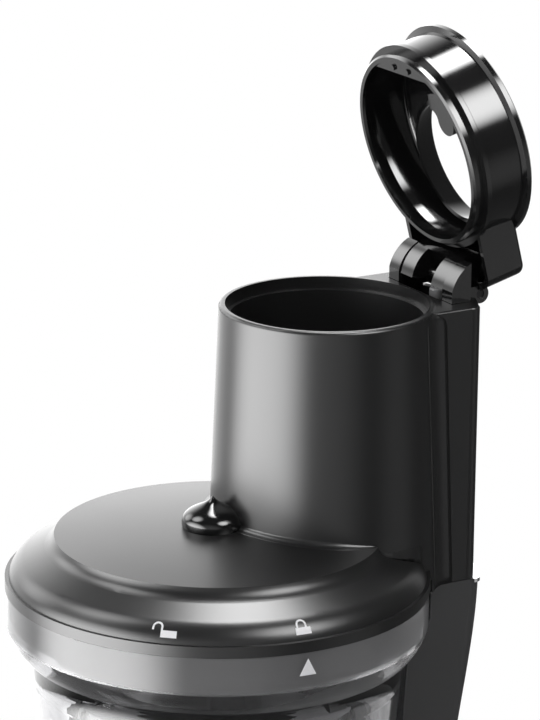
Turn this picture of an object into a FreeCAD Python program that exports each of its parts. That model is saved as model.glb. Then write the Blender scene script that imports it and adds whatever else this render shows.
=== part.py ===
import FreeCAD
import Part
import math
import os

V = FreeCAD.Vector

# Cold press juicer, standing on a table. Origin on the table under the bowl axis.
# +Z is up, +Y points to the rear column, -Y to the juice spout. All sizes in millimetres.

# Heights of the whole machine
BAND_Z = 300.0            # lower edge of the clear bowl's thick top band
RIM_UP = 119.7            # feed chute rim above that edge
SEAM_UP = 8.0             # joint between hopper column and body column
DECK_Z = 186.0            # top of the motor base
FOOT_H = 5.0
RIM_Z = BAND_Z + RIM_UP
SEAM_Z = BAND_Z + SEAM_UP

# Clearances
GAP = 0.3                 # between pieces that move past each other
RUN = 0.05                # radial play of a shaft in its bush
WALL = 2.8                # moulded wall of the housings

# Bowl
BAND_R = 82.0
BAND_TOP = BAND_Z + 13.1
BAND_WALL = 2.6
BOWL_WALL = 2.6
BOWL_Z = 192.0            # underside of the bowl
BOWL_FOOT_R = 66.5
BOWL_HUB_R = 11.4
FLOOR = 2.6
GROOVE_Z = BAND_Z + 4.5
GROOVE_H = 5.0
GROOVE_DEEP = 1.6
LUG_COUNT = 4
LUG_ARC = 12.0            # degrees
LUG_START = 20.0
LUG_PLAY = 2.0
TWIST = 40.0              # turn that frees the hopper

# Juice spout and pulp spout on the bowl
SPOUT_Z = 208.0
SPOUT_R = 8.0
SPOUT_WALL = 2.6
SPOUT_END = 98.0
LUG_H = 8.0               # hinge lug over the juice spout
TAP_Y = -(SPOUT_END - 3.0)
TAP_Z = SPOUT_Z + SPOUT_R + 5.0
TAP_PIN_R = 1.5
SEAL_DEEP = 2.0           # soft plug in the spout's mouth
SEAL_TAPER = 1.5
PULP_Z = 212.0
PULP_SIDE = 22.0
PULP_END = 96.0

# Hopper lid with feed chute and column
SKIRT_R = 82.5
SKIRT_Z = BAND_Z + 13.4
SKIRT_H = 4.4
EDGE_R = 81.0
CREASE_R = 63.4
CREASE_Z = BAND_Z + 34.2
PLATEAU_Z = BAND_Z + 37.5
CHUTE_Y = 48.0
CHUTE_R = 42.0
CHUTE_FOOT_R = 46.0
CHUTE_BORE = 37.8
MOUTH_R = 39.6
MOUTH_DEEP = 5.0
COL_W = 30.5              # half width of the column
COL_CORNER_Y = 99.5
COL_BACK_Y = 108.5
COL_ROUND = 4.5
COL_DROP = 0.7            # column top below the chute rim
NUB_R = 12.0
NUB_H = 8.8
BUSH_LOW = PLATEAU_Z - 16.5   # bush of the auger's pin
BUSH_H = 11.0
BUSH_OUT = 6.2

# Lid hinge at the top of the column
HINGE_Y = 106.5
HINGE_Z = RIM_Z + 0.5
OPEN = 75.5               # degrees, the lid rests open
PIN_R = 1.75
DRUM_R = 15.5
DRUM_W = 15.2             # half width of the drum
SLOT_W = 6.8              # half width of the slot in the drum
SLOT_FROM = 196.0         # degrees, lid closed
CHEEK_IN = 15.7
CHEEK_OUT = 22.7
CHEEK_ARC = 16.3
CHEEK_FRONT = 90.7
CHEEK_BACK = 99.4
EAR_R = 3.8
EAR_OUT = 18.8
YOKE_DROP = 20.5          # cross plate of the hinge block below the rim
YOKE_T = 2.5
SEAT_T = 6.0              # rib under the cross plate
SCREW_R = 1.3

# Ring lid, described closed on the chute
RING_R = 41.2
RING_RIDGE_R = 41.8
RING_FLANGE_R = 43.6
RING_H = 20.0
RING_LIP_R = 39.2
RING_LIP_DEEP = 4.4
RING_IN_R = 36.7
RING_DISC = 2.5
RING_HOLE_R = 24.0        # inner end of the flared feed hole
RING_HOLE_OUT_R = 27.5
RING_HOLE_OFF = 10.5
COLLAR_DEEP = 9.0
POST_OFF = -5.6           # pivot post, from the ring centre
POST_R = 5.2
POST_BORE = 3.6
CAP_W = 27.5
CAP_H = 17.6
CAP_WALL = 2.0

# Interlock push rod in the column
ROD_Y = 98.6
ROD_R = 3.0
ROD_TRAVEL = 8.0
ROD_LOW = SEAM_Z + 16.0
SHELF_Z = 338.0
SHELF_T = 3.0
COLLAR_Z = 372.0

# Auger, wiper and strainer
STRAIN_R = 54.0
STRAIN_WALL = 1.6
STRAIN_Z = 203.0
STRAIN_TOP = 284.0
STRAIN_LEG_R = 70.0       # legs that rest on the bowl wall
WIPE_IN = 55.2
WIPE_OUT = 60.5
WIPE_PLATE = 2.4          # plate that carries the wiper under the auger
AUGER_Z = 200.5
AUGER_R = 51.4
AUGER_HUB_R = 17.0
AUGER_TOP = 296.0
AUGER_PIN_R = 3.9
AUGER_PIN_TOP = 331.0
FLIGHT_PITCH = 38.0
FLIGHT_T = 5.0
HEX = 12.0                # drive hexagon across flats
HEX_TOP = 230.0

# Drive in the base
SHAFT_R = 8.0
BUSH_R = 12.0             # bush of the drive shaft
PLATE_Z = 132.0
PLATE_T = 4.0
COVER_Z = 169.0
COVER_T = 3.0
IDLER = (36.0, 27.0)
MOTOR = (12.0, 45.0)
MODULE_1 = 1.0            # motor pinion and idler wheel
MODULE_2 = 1.25           # idler pinion and output wheel
PINION_TEETH = 12
IDLER_TEETH = 48
OUTPUT_TEETH = 60
MOTOR_R = 30.0
MOTOR_Z = 34.0
MOTOR_SHAFT_R = 4.0
FAN_Z = 19.0

# Base shell sections: height, half width, front y, rear y, corner radius
BASE_SECTIONS = [
    (8.0, 76.0, -80.0, 116.0, 46.0),
    (60.0, 78.0, -82.0, 118.0, 47.0),
    (130.0, 74.5, -78.5, 112.0, 48.0),
    (DECK_Z, 70.5, -72.5, 97.0, 50.0),
]
# Body column sections: height, y of the rear corner
COLUMN_SECTIONS = [(150.0, 92.0), (186.0, 88.5), (215.0, 89.5), (250.0, 94.3), (SEAM_Z - GAP, 101.8)]
COL_BULGE = COL_BACK_Y - COL_CORNER_Y
TRIM_H = 1.5
BOARD_Z = 14.0            # control board above the floor
BOARD_T = 1.6

# Control knob on the front
KNOB_Z = 95.0
KNOB_R = 19.0
BEZEL_R = 24.0
BEZEL_FRONT = -85.5
KNOB_DEEP = 15.0


def save(node, shape):
    """Write one piece, as one file."""
    if isinstance(shape, list):
        shape = Part.makeCompound(shape)
    shape.exportStep("parts/" + node + ".step")
    print(node, len(shape.Solids), shape.isValid(), round(shape.Volume / 1000.0, 2))


def cyl(radius, low, high, x=0.0, y=0.0):
    return Part.makeCylinder(radius, high - low, V(x, y, low))


def tube(inner, outer, low, high, x=0.0, y=0.0):
    return cyl(outer, low, high, x, y).cut(cyl(inner, low - 1, high + 1, x, y))


def block(x0, x1, y0, y1, z0, z1):
    return Part.makeBox(x1 - x0, y1 - y0, z1 - z0, V(x0, y0, z0))


def line(a, b):
    return Part.LineSegment(a, b).toShape()


def arc(a, m, b):
    return Part.Arc(a, m, b).toShape()


def outline(points, place):
    """Closed wire through (u, v) points; a point (u, v, mu, mv) is reached by an arc through (mu, mv)."""
    edges = []
    last = points[-1]
    for point in points:
        start = place(last[0], last[1])
        end = place(point[0], point[1])
        if len(point) == 4:
            edges.append(arc(start, place(point[2], point[3]), end))
        else:
            edges.append(line(start, end))
        last = point
    return Part.Wire(edges)


def turned(points, x=0.0, y=0.0):
    """Solid of revolution about a vertical axis, from (radius, height) points; its seam faces the rear."""
    wire = outline(points, lambda r, z: V(x, y + r, z))
    return Part.Face(wire).revolve(V(x, y, 0), V(0, 0, 1), 360)


def side_slab(points, low, high):
    """Solid of a (y, z) outline between two x values."""
    wire = outline(points, lambda y, z: V(low, y, z))
    return Part.Face(wire).extrude(V(high - low, 0, 0))


def both(shape):
    """A shape and its mirror image in x."""
    return shape.fuse(shape.mirror(V(0, 0, 0), V(1, 0, 0)))


def swing(shape):
    """Carry a piece of the lid from its closed place to its open place."""
    moved = shape.copy()
    moved.rotate(V(0, HINGE_Y, HINGE_Z), V(1, 0, 0), -OPEN)
    return moved


def hexagon(flats, low, high):
    radius = flats / math.sqrt(3)
    corners = [V(radius * math.cos(math.radians(a)), radius * math.sin(math.radians(a)), low)
               for a in range(0, 361, 60)]
    return Part.Face(Part.makePolygon(corners)).extrude(V(0, 0, high - low))


def gear(teeth, module, low, high, x, y, phase):
    """Spur wheel with straight-sided teeth; one tooth points at the angle phase, in degrees."""
    pitch_r = teeth * module / 2
    tip_r = pitch_r + 0.75 * module
    root_r = pitch_r - 1.1 * module
    step = 360.0 / teeth
    corners = []
    for n in range(teeth):
        middle = phase + n * step
        for radius, share in ((root_r, -0.30), (tip_r, -0.11), (tip_r, 0.11), (root_r, 0.30)):
            angle = math.radians(middle + share * step)
            corners.append(V(x + radius * math.cos(angle), y + radius * math.sin(angle), low))
    corners.append(corners[0])
    return Part.Face(Part.makePolygon(corners)).extrude(V(0, 0, high - low))


def section(z, half, front, rear, corner):
    """Rounded rectangle in plan."""
    k = corner * (1 - math.sqrt(0.5))
    points = [
        (-half + corner, front), (half - corner, front),
        (half, front + corner, half - k, front + k),
        (half, rear - corner),
        (half - corner, rear, half - k, rear - k),
        (-half + corner, rear),
        (-half, rear - corner, -half + k, rear - k),
        (-half, front + corner),
        (-half + corner, front, -half + k, front + k),
    ]
    return outline(points[1:], lambda x, y: V(x, y, z))


def column_plan(z, corner_y, inset=0.0, front=50.0):
    """Column outline in plan: straight sides, rounded rear corners and a bulged back."""
    half = COL_W - inset
    yc = corner_y - inset
    bulge = yc + COL_BULGE
    k = COL_ROUND * 0.32
    points = [
        (half, front), (half, yc - COL_ROUND),
        (half - COL_ROUND * 0.8, yc + 0.9, half - k * 0.55, yc - k * 0.35),
        (-half + COL_ROUND * 0.8, yc + 0.9, 0, bulge),
        (-half, yc - COL_ROUND, -half + k * 0.55, yc - k * 0.35),
        (-half, front),
    ]
    return outline(points, lambda x, y: V(x, y, z))


def column_prism(low, high, inset=0.0, front=50.0):
    return Part.Face(column_plan(low, COL_CORNER_Y, inset, front)).extrude(V(0, 0, high - low))


# Motor base: one moulded shell with the column that hugs the bowl
def cradle(extra):
    """Space that the bowl and its band need in the column, as a turned solid."""
    r_band = BAND_R + 2.5 + extra
    r_wall = 73.6 + extra
    low = DECK_Z - 60
    return turned([
        (0, low), (r_wall - 1.5, low), (r_wall - 1.5, BOWL_Z + 8), (r_wall, BAND_Z - 44),
        (r_wall + 1.2, BAND_Z - 24),
        (r_band - 3.0, BAND_Z - 8.5, r_wall + 3.2, BAND_Z - 15),
        (r_band, BAND_Z - 4.6, r_band - 0.7, BAND_Z - 7.3),
        (r_band, SEAM_Z + 20), (0, SEAM_Z + 20)])


def column_loft(inset, top):
    wires = [column_plan(z, y, inset, 40.0) for z, y in COLUMN_SECTIONS[:-1]]
    wires.append(column_plan(top, COLUMN_SECTIONS[-1][1], inset, 40.0))
    return Part.makeLoft(wires, True)


def base_loft(inset, low, high):
    wires = []
    for z, half, front, rear, corner in BASE_SECTIONS:
        level = low if z == BASE_SECTIONS[0][0] else (high if z == DECK_Z else z)
        wires.append(section(level, half - inset, front + inset, rear - inset, corner - inset))
    return Part.makeLoft(wires, True)


def screw_places():
    half, front, rear, corner = BASE_SECTIONS[0][1:]
    reach = (corner - WALL - 5.0) * math.sqrt(0.5)
    return [(sx * (half - corner + reach), y) for sx in (-1, 1)
            for y in (front + corner - reach, rear - corner + reach)]


def base_housing():
    outer = base_loft(0, BASE_SECTIONS[0][0], DECK_Z)
    deck_edge = [e for e in outer.Edges if abs(e.CenterOfMass.z - DECK_Z) < 0.01]
    outer = outer.makeFillet(6.0, deck_edge)
    column = column_loft(0, SEAM_Z - GAP).cut(cradle(0))
    deck_cut = block(-90, 90, -90, 130, 100, DECK_Z - 3)
    column = column.cut(deck_cut)
    shell = outer.fuse(column)
    ring = tube(BOWL_FOOT_R - 8, BOWL_FOOT_R - 3, DECK_Z - 1, BOWL_Z - GAP)
    shell = shell.fuse(ring)
    room = base_loft(WALL, BASE_SECTIONS[0][0] - 5, DECK_Z - WALL)
    shaft_way = column_loft(WALL, SEAM_Z - GAP - WALL).cut(cradle(WALL))
    shell = shell.cut(room)
    shell = shell.cut(shaft_way)
    shell = shell.cut(cyl(BUSH_R, DECK_Z - 20, DECK_Z + 5))
    shell = shell.cut(bezel_solid())
    shell = shell.cut(gland_solid())
    shell = shell.cut(column_trim())
    for x, y in screw_places():
        boss = cyl(6.0, BASE_SECTIONS[0][0] + 3, 26, x, y)
        boss = boss.common(base_loft(0.5, BASE_SECTIONS[0][0], DECK_Z))
        shell = shell.fuse(boss)
        shell = shell.cut(cyl(1.8, 0, 22, x, y))
    return shell


def column_trim():
    """Thin bright strip round the back of the seam."""
    top = SEAM_Z - GAP
    y = COLUMN_SECTIONS[-1][1]
    outer = Part.Face(column_plan(top - TRIM_H, y, -0.6, 40.0)).extrude(V(0, 0, TRIM_H))
    inner = Part.Face(column_plan(top - TRIM_H - 1, y, 1.4, 30.0)).extrude(V(0, 0, TRIM_H + 2))
    strip = outer.cut(inner)
    return strip.common(block(-60, 60, y - 3, y + 40, 0, 400))


def bezel_solid():
    return Part.makeCylinder(BEZEL_R, 12.0, V(0, BEZEL_FRONT, KNOB_Z), V(0, 1, 0))


def knob_bezel():
    hole = Part.makeCylinder(3.0 + RUN, 40.0, V(0, BEZEL_FRONT - 5, KNOB_Z), V(0, 1, 0))
    body = bezel_solid().cut(hole)
    dish = Part.makeCylinder(BEZEL_R - 2.5, 1.6, V(0, BEZEL_FRONT, KNOB_Z), V(0, 1, 0))
    return body.cut(dish)


def control_knob():
    face = BEZEL_FRONT + 1.6 - GAP
    skirt = Part.makeCone(KNOB_R, KNOB_R - 2.0, KNOB_DEEP - 4, V(0, face, KNOB_Z), V(0, -1, 0))
    grip = block(-4.5, 4.5, face - KNOB_DEEP, face - KNOB_DEEP + 7, KNOB_Z - KNOB_R + 1, KNOB_Z + KNOB_R - 1)
    grip = grip.makeFillet(1.5, [e for e in grip.Edges if e.CenterOfMass.y < face - KNOB_DEEP + 6])
    round_off = Part.makeCylinder(KNOB_R - 1.2, KNOB_DEEP + 2, V(0, face + 1, KNOB_Z), V(0, -1, 0))
    stem = Part.makeCylinder(3.0, 17.0, V(0, face - 2, KNOB_Z), V(0, 1, 0))
    return skirt.fuse(grip.common(round_off)).fuse(stem)


def rotary_switch():
    back = BEZEL_FRONT + 12.0
    body = block(-13, 13, back, back + 15, KNOB_Z - 13, KNOB_Z + 13)
    bore = Part.makeCylinder(3.0 + RUN, 8.0, V(0, back - 1, KNOB_Z), V(0, 1, 0))
    body = body.cut(bore)
    for x in (-8, 0, 8):
        body = body.fuse(block(x - 1.5, x + 1.5, back + 15, back + 21, KNOB_Z - 0.4, KNOB_Z + 0.4))
    return body


def gland_solid():
    rear = BASE_SECTIONS[0][3]
    return Part.makeCylinder(9.0, 14.0, V(40, rear - 12, 34), V(0, 1, 0))


def cord_gland():
    rear = BASE_SECTIONS[0][3]
    hole = Part.makeCylinder(3.6, 40.0, V(40, rear - 20, 34), V(0, 1, 0))
    flange = Part.makeCylinder(11.5, 2.0, V(40, rear - 14, 34), V(0, 1, 0))
    return gland_solid().fuse(flange).cut(hole)


def base_bottom_cover():
    z, half, front, rear, corner = BASE_SECTIONS[0]
    wire = section(FOOT_H, half - WALL - GAP, front + WALL + GAP, rear - WALL - GAP, corner - WALL - GAP)
    plate = Part.Face(wire).extrude(V(0, 0, 3.0))
    lip = Part.Face(section(FOOT_H, half, front, rear, corner)).extrude(V(0, 0, z - FOOT_H))
    plate = plate.fuse(lip)
    plate = plate.fuse(tube(2.2, 5.0, z - 1, FAN_Z - 7, MOTOR[0] - 45, MOTOR[1]))
    for n in range(-4, 5):
        slot = block(MOTOR[0] + n * 6 - 1.5, MOTOR[0] + n * 6 + 1.5, MOTOR[1] - 18, MOTOR[1] + 18, 0, 20)
        plate = plate.cut(slot)
    for x, y in screw_places():
        plate = plate.fuse(cyl(5.5, z - 1, z + 3, x, y))
        plate = plate.cut(cyl(1.8, 0, 20, x, y))
        plate = plate.cut(cyl(4.0, 0, FOOT_H + 2.0, x, y))
    for x, y in board_posts():
        plate = plate.fuse(cyl(3.0, z - 1, BOARD_Z, x, y))
    return plate


def board_posts():
    return [(x, y) for x in (-58.0, -30.0) for y in (-30.0, 34.0)]


def control_board():
    top = BOARD_Z + BOARD_T
    board = block(-63, -25, -36, 40, BOARD_Z, top)
    parts = [
        block(-58, -44, -20, 0, top, top + 12.4),
        cyl(6.5, top, top + 20.4, -34, -18),
        cyl(4.0, top, top + 12.4, -34, 4),
        block(-56, -40, 10, 28, top, top + 7.4),
    ]
    for piece in parts:
        board = board.fuse(piece)
    return board


def rubber_feet():
    half, front, rear, corner = BASE_SECTIONS[0][1:]
    x = half - 24
    places = [(-x, front + 24), (x, front + 24), (-x, rear - 24), (x, rear - 24)]
    feet = [cyl(10.0, 0, FOOT_H, px, py) for px, py in places]
    feet.append(cyl(16.0, 0, FOOT_H))
    return feet


def base_screws():
    out = []
    for x, y in screw_places():
        head = cyl(3.7, FOOT_H + 0.4, FOOT_H + 2.0, x, y)
        cross = block(x - 2.2, x + 2.2, y - 0.4, y + 0.4, 0, FOOT_H + 1.2)
        out.append(head.fuse(cyl(1.8, FOOT_H + 1, 21, x, y)).cut(cross))
    return out


# Motor and two-stage gear train
def plate_outline(low, high):
    middle = cyl(42.0, low, high)
    over_idler = cyl(27.0, low, high, *IDLER)
    over_motor = cyl(34.0, low, high, *MOTOR)
    return middle.fuse(over_idler).fuse(over_motor)


def post_places():
    return [(-44.0, 0.0), (14.0, -43.0), (43.0, -10.0), (-17.0, 68.0)]


def gearbox_housing():
    body = plate_outline(PLATE_Z, PLATE_Z + PLATE_T)
    for x, y in post_places():
        body = body.fuse(cyl(5.0, PLATE_Z, COVER_Z, x, y))
    body = body.cut(cyl(SHAFT_R + RUN, 0, 200))
    body = body.cut(cyl(3.0, 0, 200, *IDLER))
    body = body.cut(cyl(MOTOR_SHAFT_R + 1.0, 0, 200, *MOTOR))
    return body.removeSplitter()


def gearbox_cover():
    body = plate_outline(COVER_Z, COVER_Z + COVER_T)
    for x, y in post_places():
        body = body.fuse(cyl(6.0, COVER_Z, COVER_Z + COVER_T, x, y))
        body = body.fuse(cyl(4.0, COVER_Z, DECK_Z - WALL, x, y))
    body = body.cut(cyl(BUSH_R, 0, 200))
    body = body.cut(cyl(3.0, 0, 200, *IDLER))
    return body.removeSplitter()


def drive_bush():
    return tube(SHAFT_R + RUN, BUSH_R, COVER_Z, DECK_Z + 1.0)


def shaft_seal():
    return tube(SHAFT_R + 0.4, BUSH_R + 2, DECK_Z + 1.0, DECK_Z + 4.0)


def motor_can():
    top = PLATE_Z
    can = tube(MOTOR_R - 2.0, MOTOR_R, MOTOR_Z, top, *MOTOR)
    low_end = tube(MOTOR_SHAFT_R + RUN, MOTOR_R - 2.0, MOTOR_Z, MOTOR_Z + 4, *MOTOR)
    high_end = tube(MOTOR_SHAFT_R + RUN, MOTOR_R - 2.0, top - 4, top, *MOTOR)
    return can.fuse(low_end).fuse(high_end)


def motor_magnets():
    ring = tube(20.5, MOTOR_R - 2.0, MOTOR_Z + 14, PLATE_Z - 14, *MOTOR)
    return ring.cut(block(MOTOR[0] - 40, MOTOR[0] + 40, MOTOR[1] - 7, MOTOR[1] + 7, 0, 200)).Solids


def motor_rotor():
    shaft = cyl(MOTOR_SHAFT_R, FAN_Z - 2, PLATE_Z + 19, *MOTOR)
    core = cyl(19.8, MOTOR_Z + 16, PLATE_Z - 20, *MOTOR)
    ring = cyl(12.0, PLATE_Z - 20, PLATE_Z - 8, *MOTOR)
    return shaft.fuse(core).fuse(ring)


def cooling_fan():
    low = FAN_Z
    fan = tube(MOTOR_SHAFT_R, 9.0, low, low + 9, *MOTOR)
    for n in range(8):
        blade = block(7.5, 25.0, -0.9, 0.9, low + 0.5, low + 8.5)
        blade.rotate(V(0, 0, low + 4.5), V(1, 0, 0), 32)
        blade.rotate(V(0, 0, 0), V(0, 0, 1), n * 45)
        blade.translate(V(MOTOR[0], MOTOR[1], 0))
        fan = fan.fuse(blade)
    return fan.cut(cyl(MOTOR_SHAFT_R, low - 1, low + 12, *MOTOR))


def toward(a, b):
    return math.degrees(math.atan2(b[1] - a[1], b[0] - a[0]))


def motor_pinion():
    low = PLATE_Z + 6
    wheel = gear(PINION_TEETH, MODULE_1, low, low + 12, MOTOR[0], MOTOR[1], toward(MOTOR, IDLER))
    return wheel.cut(cyl(MOTOR_SHAFT_R, low - 1, low + 14, *MOTOR))


def idler_gear():
    low = PLATE_Z + 7
    gap_phase = toward(IDLER, MOTOR) + 180.0 / IDLER_TEETH
    wheel = gear(IDLER_TEETH, MODULE_1, low, low + 10, IDLER[0], IDLER[1], gap_phase)
    small = gear(PINION_TEETH, MODULE_2, low + 10, COVER_Z - 1, IDLER[0], IDLER[1], toward(IDLER, (0, 0)))
    hub = cyl(6.0, PLATE_Z + PLATE_T + GAP, COVER_Z - GAP, *IDLER)
    body = wheel.fuse(small).fuse(hub)
    return body.cut(cyl(3.0 + RUN, 0, 200, *IDLER))


def idler_pin():
    return cyl(3.0, PLATE_Z, COVER_Z + COVER_T, *IDLER)


def output_gear():
    low = PLATE_Z + 20
    phase = toward((0, 0), IDLER) + 180.0 / OUTPUT_TEETH
    wheel = gear(OUTPUT_TEETH, MODULE_2, low, low + 12, 0, 0, phase)
    for n in range(6):
        angle = math.radians(60 * n)
        wheel = wheel.cut(cyl(6.5, low - 1, low + 13, 23 * math.cos(angle), 23 * math.sin(angle)))
    return wheel.cut(cyl(SHAFT_R, low - 1, low + 13))


def drive_shaft():
    round_part = cyl(SHAFT_R, PLATE_Z - 1, BOWL_Z + 5)
    head = hexagon(HEX, BOWL_Z + 4, HEX_TOP)
    tip = Part.makeCone(HEX * 0.75, HEX * 0.4, 12, V(0, 0, HEX_TOP - 9))
    trim = cyl(HEX, BOWL_Z, HEX_TOP - 8).fuse(tip)
    return round_part.fuse(head.common(trim))


# Clear bowl with its spouts
def bowl_side(shift, r_band):
    """Outer wall points from the foot up to the band, moved inwards by shift."""
    z = BAND_Z
    return [
        (BOWL_FOOT_R - shift, BOWL_Z + 2.5 + shift * 0.6),
        (70.6 - shift, z - 40.6), (71.9 - shift, z - 24.4),
        (75.8 - shift, z - 11.3 - shift * 0.5, 73.2 - shift, z - 16.4 - shift * 0.2),
        (r_band, z - 1.6 + shift * 0.4, 78.9 - shift * 0.9, z - 7.6),
    ]


def bowl():
    outer = turned([(0, BOWL_Z), (BOWL_FOOT_R - 2.5, BOWL_Z)]
                   + bowl_side(0, BAND_R) + [(BAND_R, BAND_TOP), (0, BAND_TOP)])
    floor_z = BOWL_Z + FLOOR
    inner = turned([(0, floor_z), (BOWL_FOOT_R - BOWL_WALL - 2, floor_z)]
                   + bowl_side(BOWL_WALL, BAND_R - BAND_WALL)
                   + [(BAND_R - BAND_WALL, BAND_TOP + 1), (0, BAND_TOP + 1)])
    spout = Part.makeCylinder(SPOUT_R + SPOUT_WALL, SPOUT_END - 55, V(0, -55, SPOUT_Z), V(0, -1, 0))
    half = PULP_SIDE / 2 + BOWL_WALL
    pulp = block(-PULP_END, -55, -half, half, PULP_Z - half, PULP_Z + half)
    body = outer.fuse(spout).fuse(pulp)
    lug_top = SPOUT_Z + SPOUT_R + LUG_H
    hinge_lug = block(-5, 5, -SPOUT_END, -80, SPOUT_Z + SPOUT_R, lug_top)
    nose = [e for e in hinge_lug.Edges if e.CenterOfMass.y < -SPOUT_END + 0.01
            and e.CenterOfMass.z > lug_top - 0.01]
    hinge_lug = hinge_lug.makeFillet(LUG_H - 5.0 - 0.01, nose)
    body = body.fuse(hinge_lug)
    body = body.cut(inner)
    body = body.cut(Part.makeCylinder(SPOUT_R, SPOUT_END, V(0, -40, SPOUT_Z), V(0, -1, 0)))
    half = PULP_SIDE / 2
    body = body.cut(block(-PULP_END - 5, -40, -half, half, PULP_Z - half, PULP_Z + half))
    body = body.cut(Part.makeCylinder(TAP_PIN_R + RUN, 30, V(-15, TAP_Y, TAP_Z), V(1, 0, 0)))
    hub = tube(BOWL_HUB_R - 2.4, BOWL_HUB_R, BOWL_Z, BOWL_Z + 7.5)
    body = body.fuse(hub)
    body = body.cut(cyl(BOWL_HUB_R - 2.4, BOWL_Z - 1, BOWL_Z + 9))
    body = body.fuse(tube(BOWL_FOOT_R - 2.6, BOWL_FOOT_R, BOWL_Z - 3.0, BOWL_Z + 3))
    for n in range(LUG_COUNT):
        body = body.cut(groove(n * 360.0 / LUG_COUNT))
    return body


def sector(inner, outer, low, high, start, sweep):
    """Part of a ring between two angles."""
    a = math.radians(start)
    m = math.radians(start + sweep / 2)
    b = math.radians(start + sweep)

    def at(r, t):
        return V(r * math.cos(t), r * math.sin(t), low)
    edges = [line(at(inner, a), at(outer, a)), arc(at(outer, a), at(outer, m), at(outer, b)),
             line(at(outer, b), at(inner, b)), arc(at(inner, b), at(inner, m), at(inner, a))]
    return Part.Face(Part.Wire(edges)).extrude(V(0, 0, high - low))


def groove(angle):
    """Bayonet track for one lug: a run round the band and a way in from the top."""
    r_in = BAND_R - BAND_WALL - 1
    r_out = BAND_R - BAND_WALL + GROOVE_DEEP
    start = LUG_START + angle
    run = sector(r_in, r_out, GROOVE_Z, GROOVE_Z + GROOVE_H, start - LUG_PLAY, LUG_ARC + TWIST + 2 * LUG_PLAY)
    way = sector(r_in, r_out, GROOVE_Z, BAND_TOP + 1, start + TWIST - LUG_PLAY, LUG_ARC + 2 * LUG_PLAY)
    return run.fuse(way)


def bowl_shaft_seal():
    return tube(SHAFT_R + 0.35, BOWL_HUB_R + 2.2, BOWL_Z + 7.5, BOWL_Z + 8.2)


def juice_tap_cap():
    face = -SPOUT_END - GAP
    plug = Part.makeCylinder(SPOUT_R + SPOUT_WALL + 1.0, 3.5, V(0, face, SPOUT_Z), V(0, -1, 0))
    plug = plug.makeFillet(1.0, [e for e in plug.Edges if e.CenterOfMass.y < face - 3])
    for x in (-7.5, 5.2):
        arm = block(x, x + 2.3, face - 3.5, TAP_Y + 2.5, TAP_Z - 2.5, TAP_Z + 2.5)
        arm = arm.fuse(block(x, x + 2.3, face - 3.5, face, SPOUT_Z + 6, TAP_Z + 2.5))
        plug = plug.fuse(arm)
    pin = Part.makeCylinder(TAP_PIN_R, 15.0, V(-7.5, TAP_Y, TAP_Z), V(1, 0, 0))
    thumb = block(-6, 6, face - 7, face - 2, SPOUT_Z - 13.5, SPOUT_Z - 10.5)
    return plug.fuse(pin).fuse(thumb)


def tap_seal():
    face = -SPOUT_END - GAP
    return Part.makeCone(SPOUT_R - GAP, SPOUT_R - GAP - SEAL_TAPER, SEAL_DEEP, V(0, face, SPOUT_Z), V(0, 1, 0))


# Strainer, wiper and auger
def strainer_frame():
    outer = cyl(STRAIN_R, STRAIN_Z, STRAIN_TOP)
    body = outer.cut(cyl(STRAIN_R - STRAIN_WALL, STRAIN_Z - 1, STRAIN_TOP + 1))
    for n in range(8):
        window = block(0, 80, -14.5, 14.5, STRAIN_Z + 8, STRAIN_TOP - 10)
        window.rotate(V(0, 0, 0), V(0, 0, 1), n * 45)
        body = body.cut(window)
    rim = tube(STRAIN_R - STRAIN_WALL, STRAIN_R + 9.0, STRAIN_TOP - 1.5, STRAIN_TOP + 1.5)
    body = body.fuse(rim)
    for n in range(4):
        leg = block(STRAIN_R + 7.0, STRAIN_LEG_R, -4, 4, STRAIN_TOP - 1.5, STRAIN_TOP + 1.5)
        leg.rotate(V(0, 0, 0), V(0, 0, 1), n * 90 + 10)
        body = body.fuse(leg)
    return body


def strainer_screen():
    inner = STRAIN_R - STRAIN_WALL
    skin = tube(inner - 0.4, inner, STRAIN_Z + 5, STRAIN_TOP - 6)
    return skin


def wiper_holder():
    low = STRAIN_Z + 5
    high = STRAIN_TOP - 6
    body = tube(WIPE_IN, WIPE_OUT, AUGER_Z - WIPE_PLATE, low + 5).fuse(tube(WIPE_IN, WIPE_OUT, high - 4, high))
    body = body.fuse(tube(AUGER_HUB_R + 2.6, WIPE_OUT, AUGER_Z - WIPE_PLATE, AUGER_Z))
    for n in range(4):
        post = block(WIPE_IN + 0.6, WIPE_OUT - 0.4, -3.5, 3.5, low + 1, high - 1)
        post = post.cut(block(WIPE_IN + 0.6, WIPE_IN + 3.0, -1.2, 1.2, low - 5, high + 5))
        post.rotate(V(0, 0, 0), V(0, 0, 1), n * 90 + 45)
        body = body.fuse(post)
    return body


def wiper_blades():
    low = STRAIN_Z + 10.5
    high = STRAIN_TOP - 11
    out = []
    for n in range(4):
        blade = block(STRAIN_R + GAP, WIPE_IN + 3.0, -1.2, 1.2, low, high)
        blade.rotate(V(0, 0, 0), V(0, 0, 1), n * 90 + 45)
        out.append(blade)
    return out


def flight():
    """One screw flight swept along a helix round the hub."""
    turns = 1.9
    height = FLIGHT_PITCH * turns
    helix = Part.makeHelix(FLIGHT_PITCH, height, AUGER_HUB_R - 3)
    profile = Part.makePolygon([
        V(AUGER_HUB_R - 3, 0, -FLIGHT_T), V(AUGER_R, 0, -FLIGHT_T * 0.35),
        V(AUGER_R, 0, FLIGHT_T * 0.35), V(AUGER_HUB_R - 3, 0, FLIGHT_T),
        V(AUGER_HUB_R - 3, 0, -FLIGHT_T)])
    sweep = Part.Wire(helix).makePipeShell([profile], True, True)
    sweep.translate(V(0, 0, AUGER_Z + 9))
    return sweep


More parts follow.
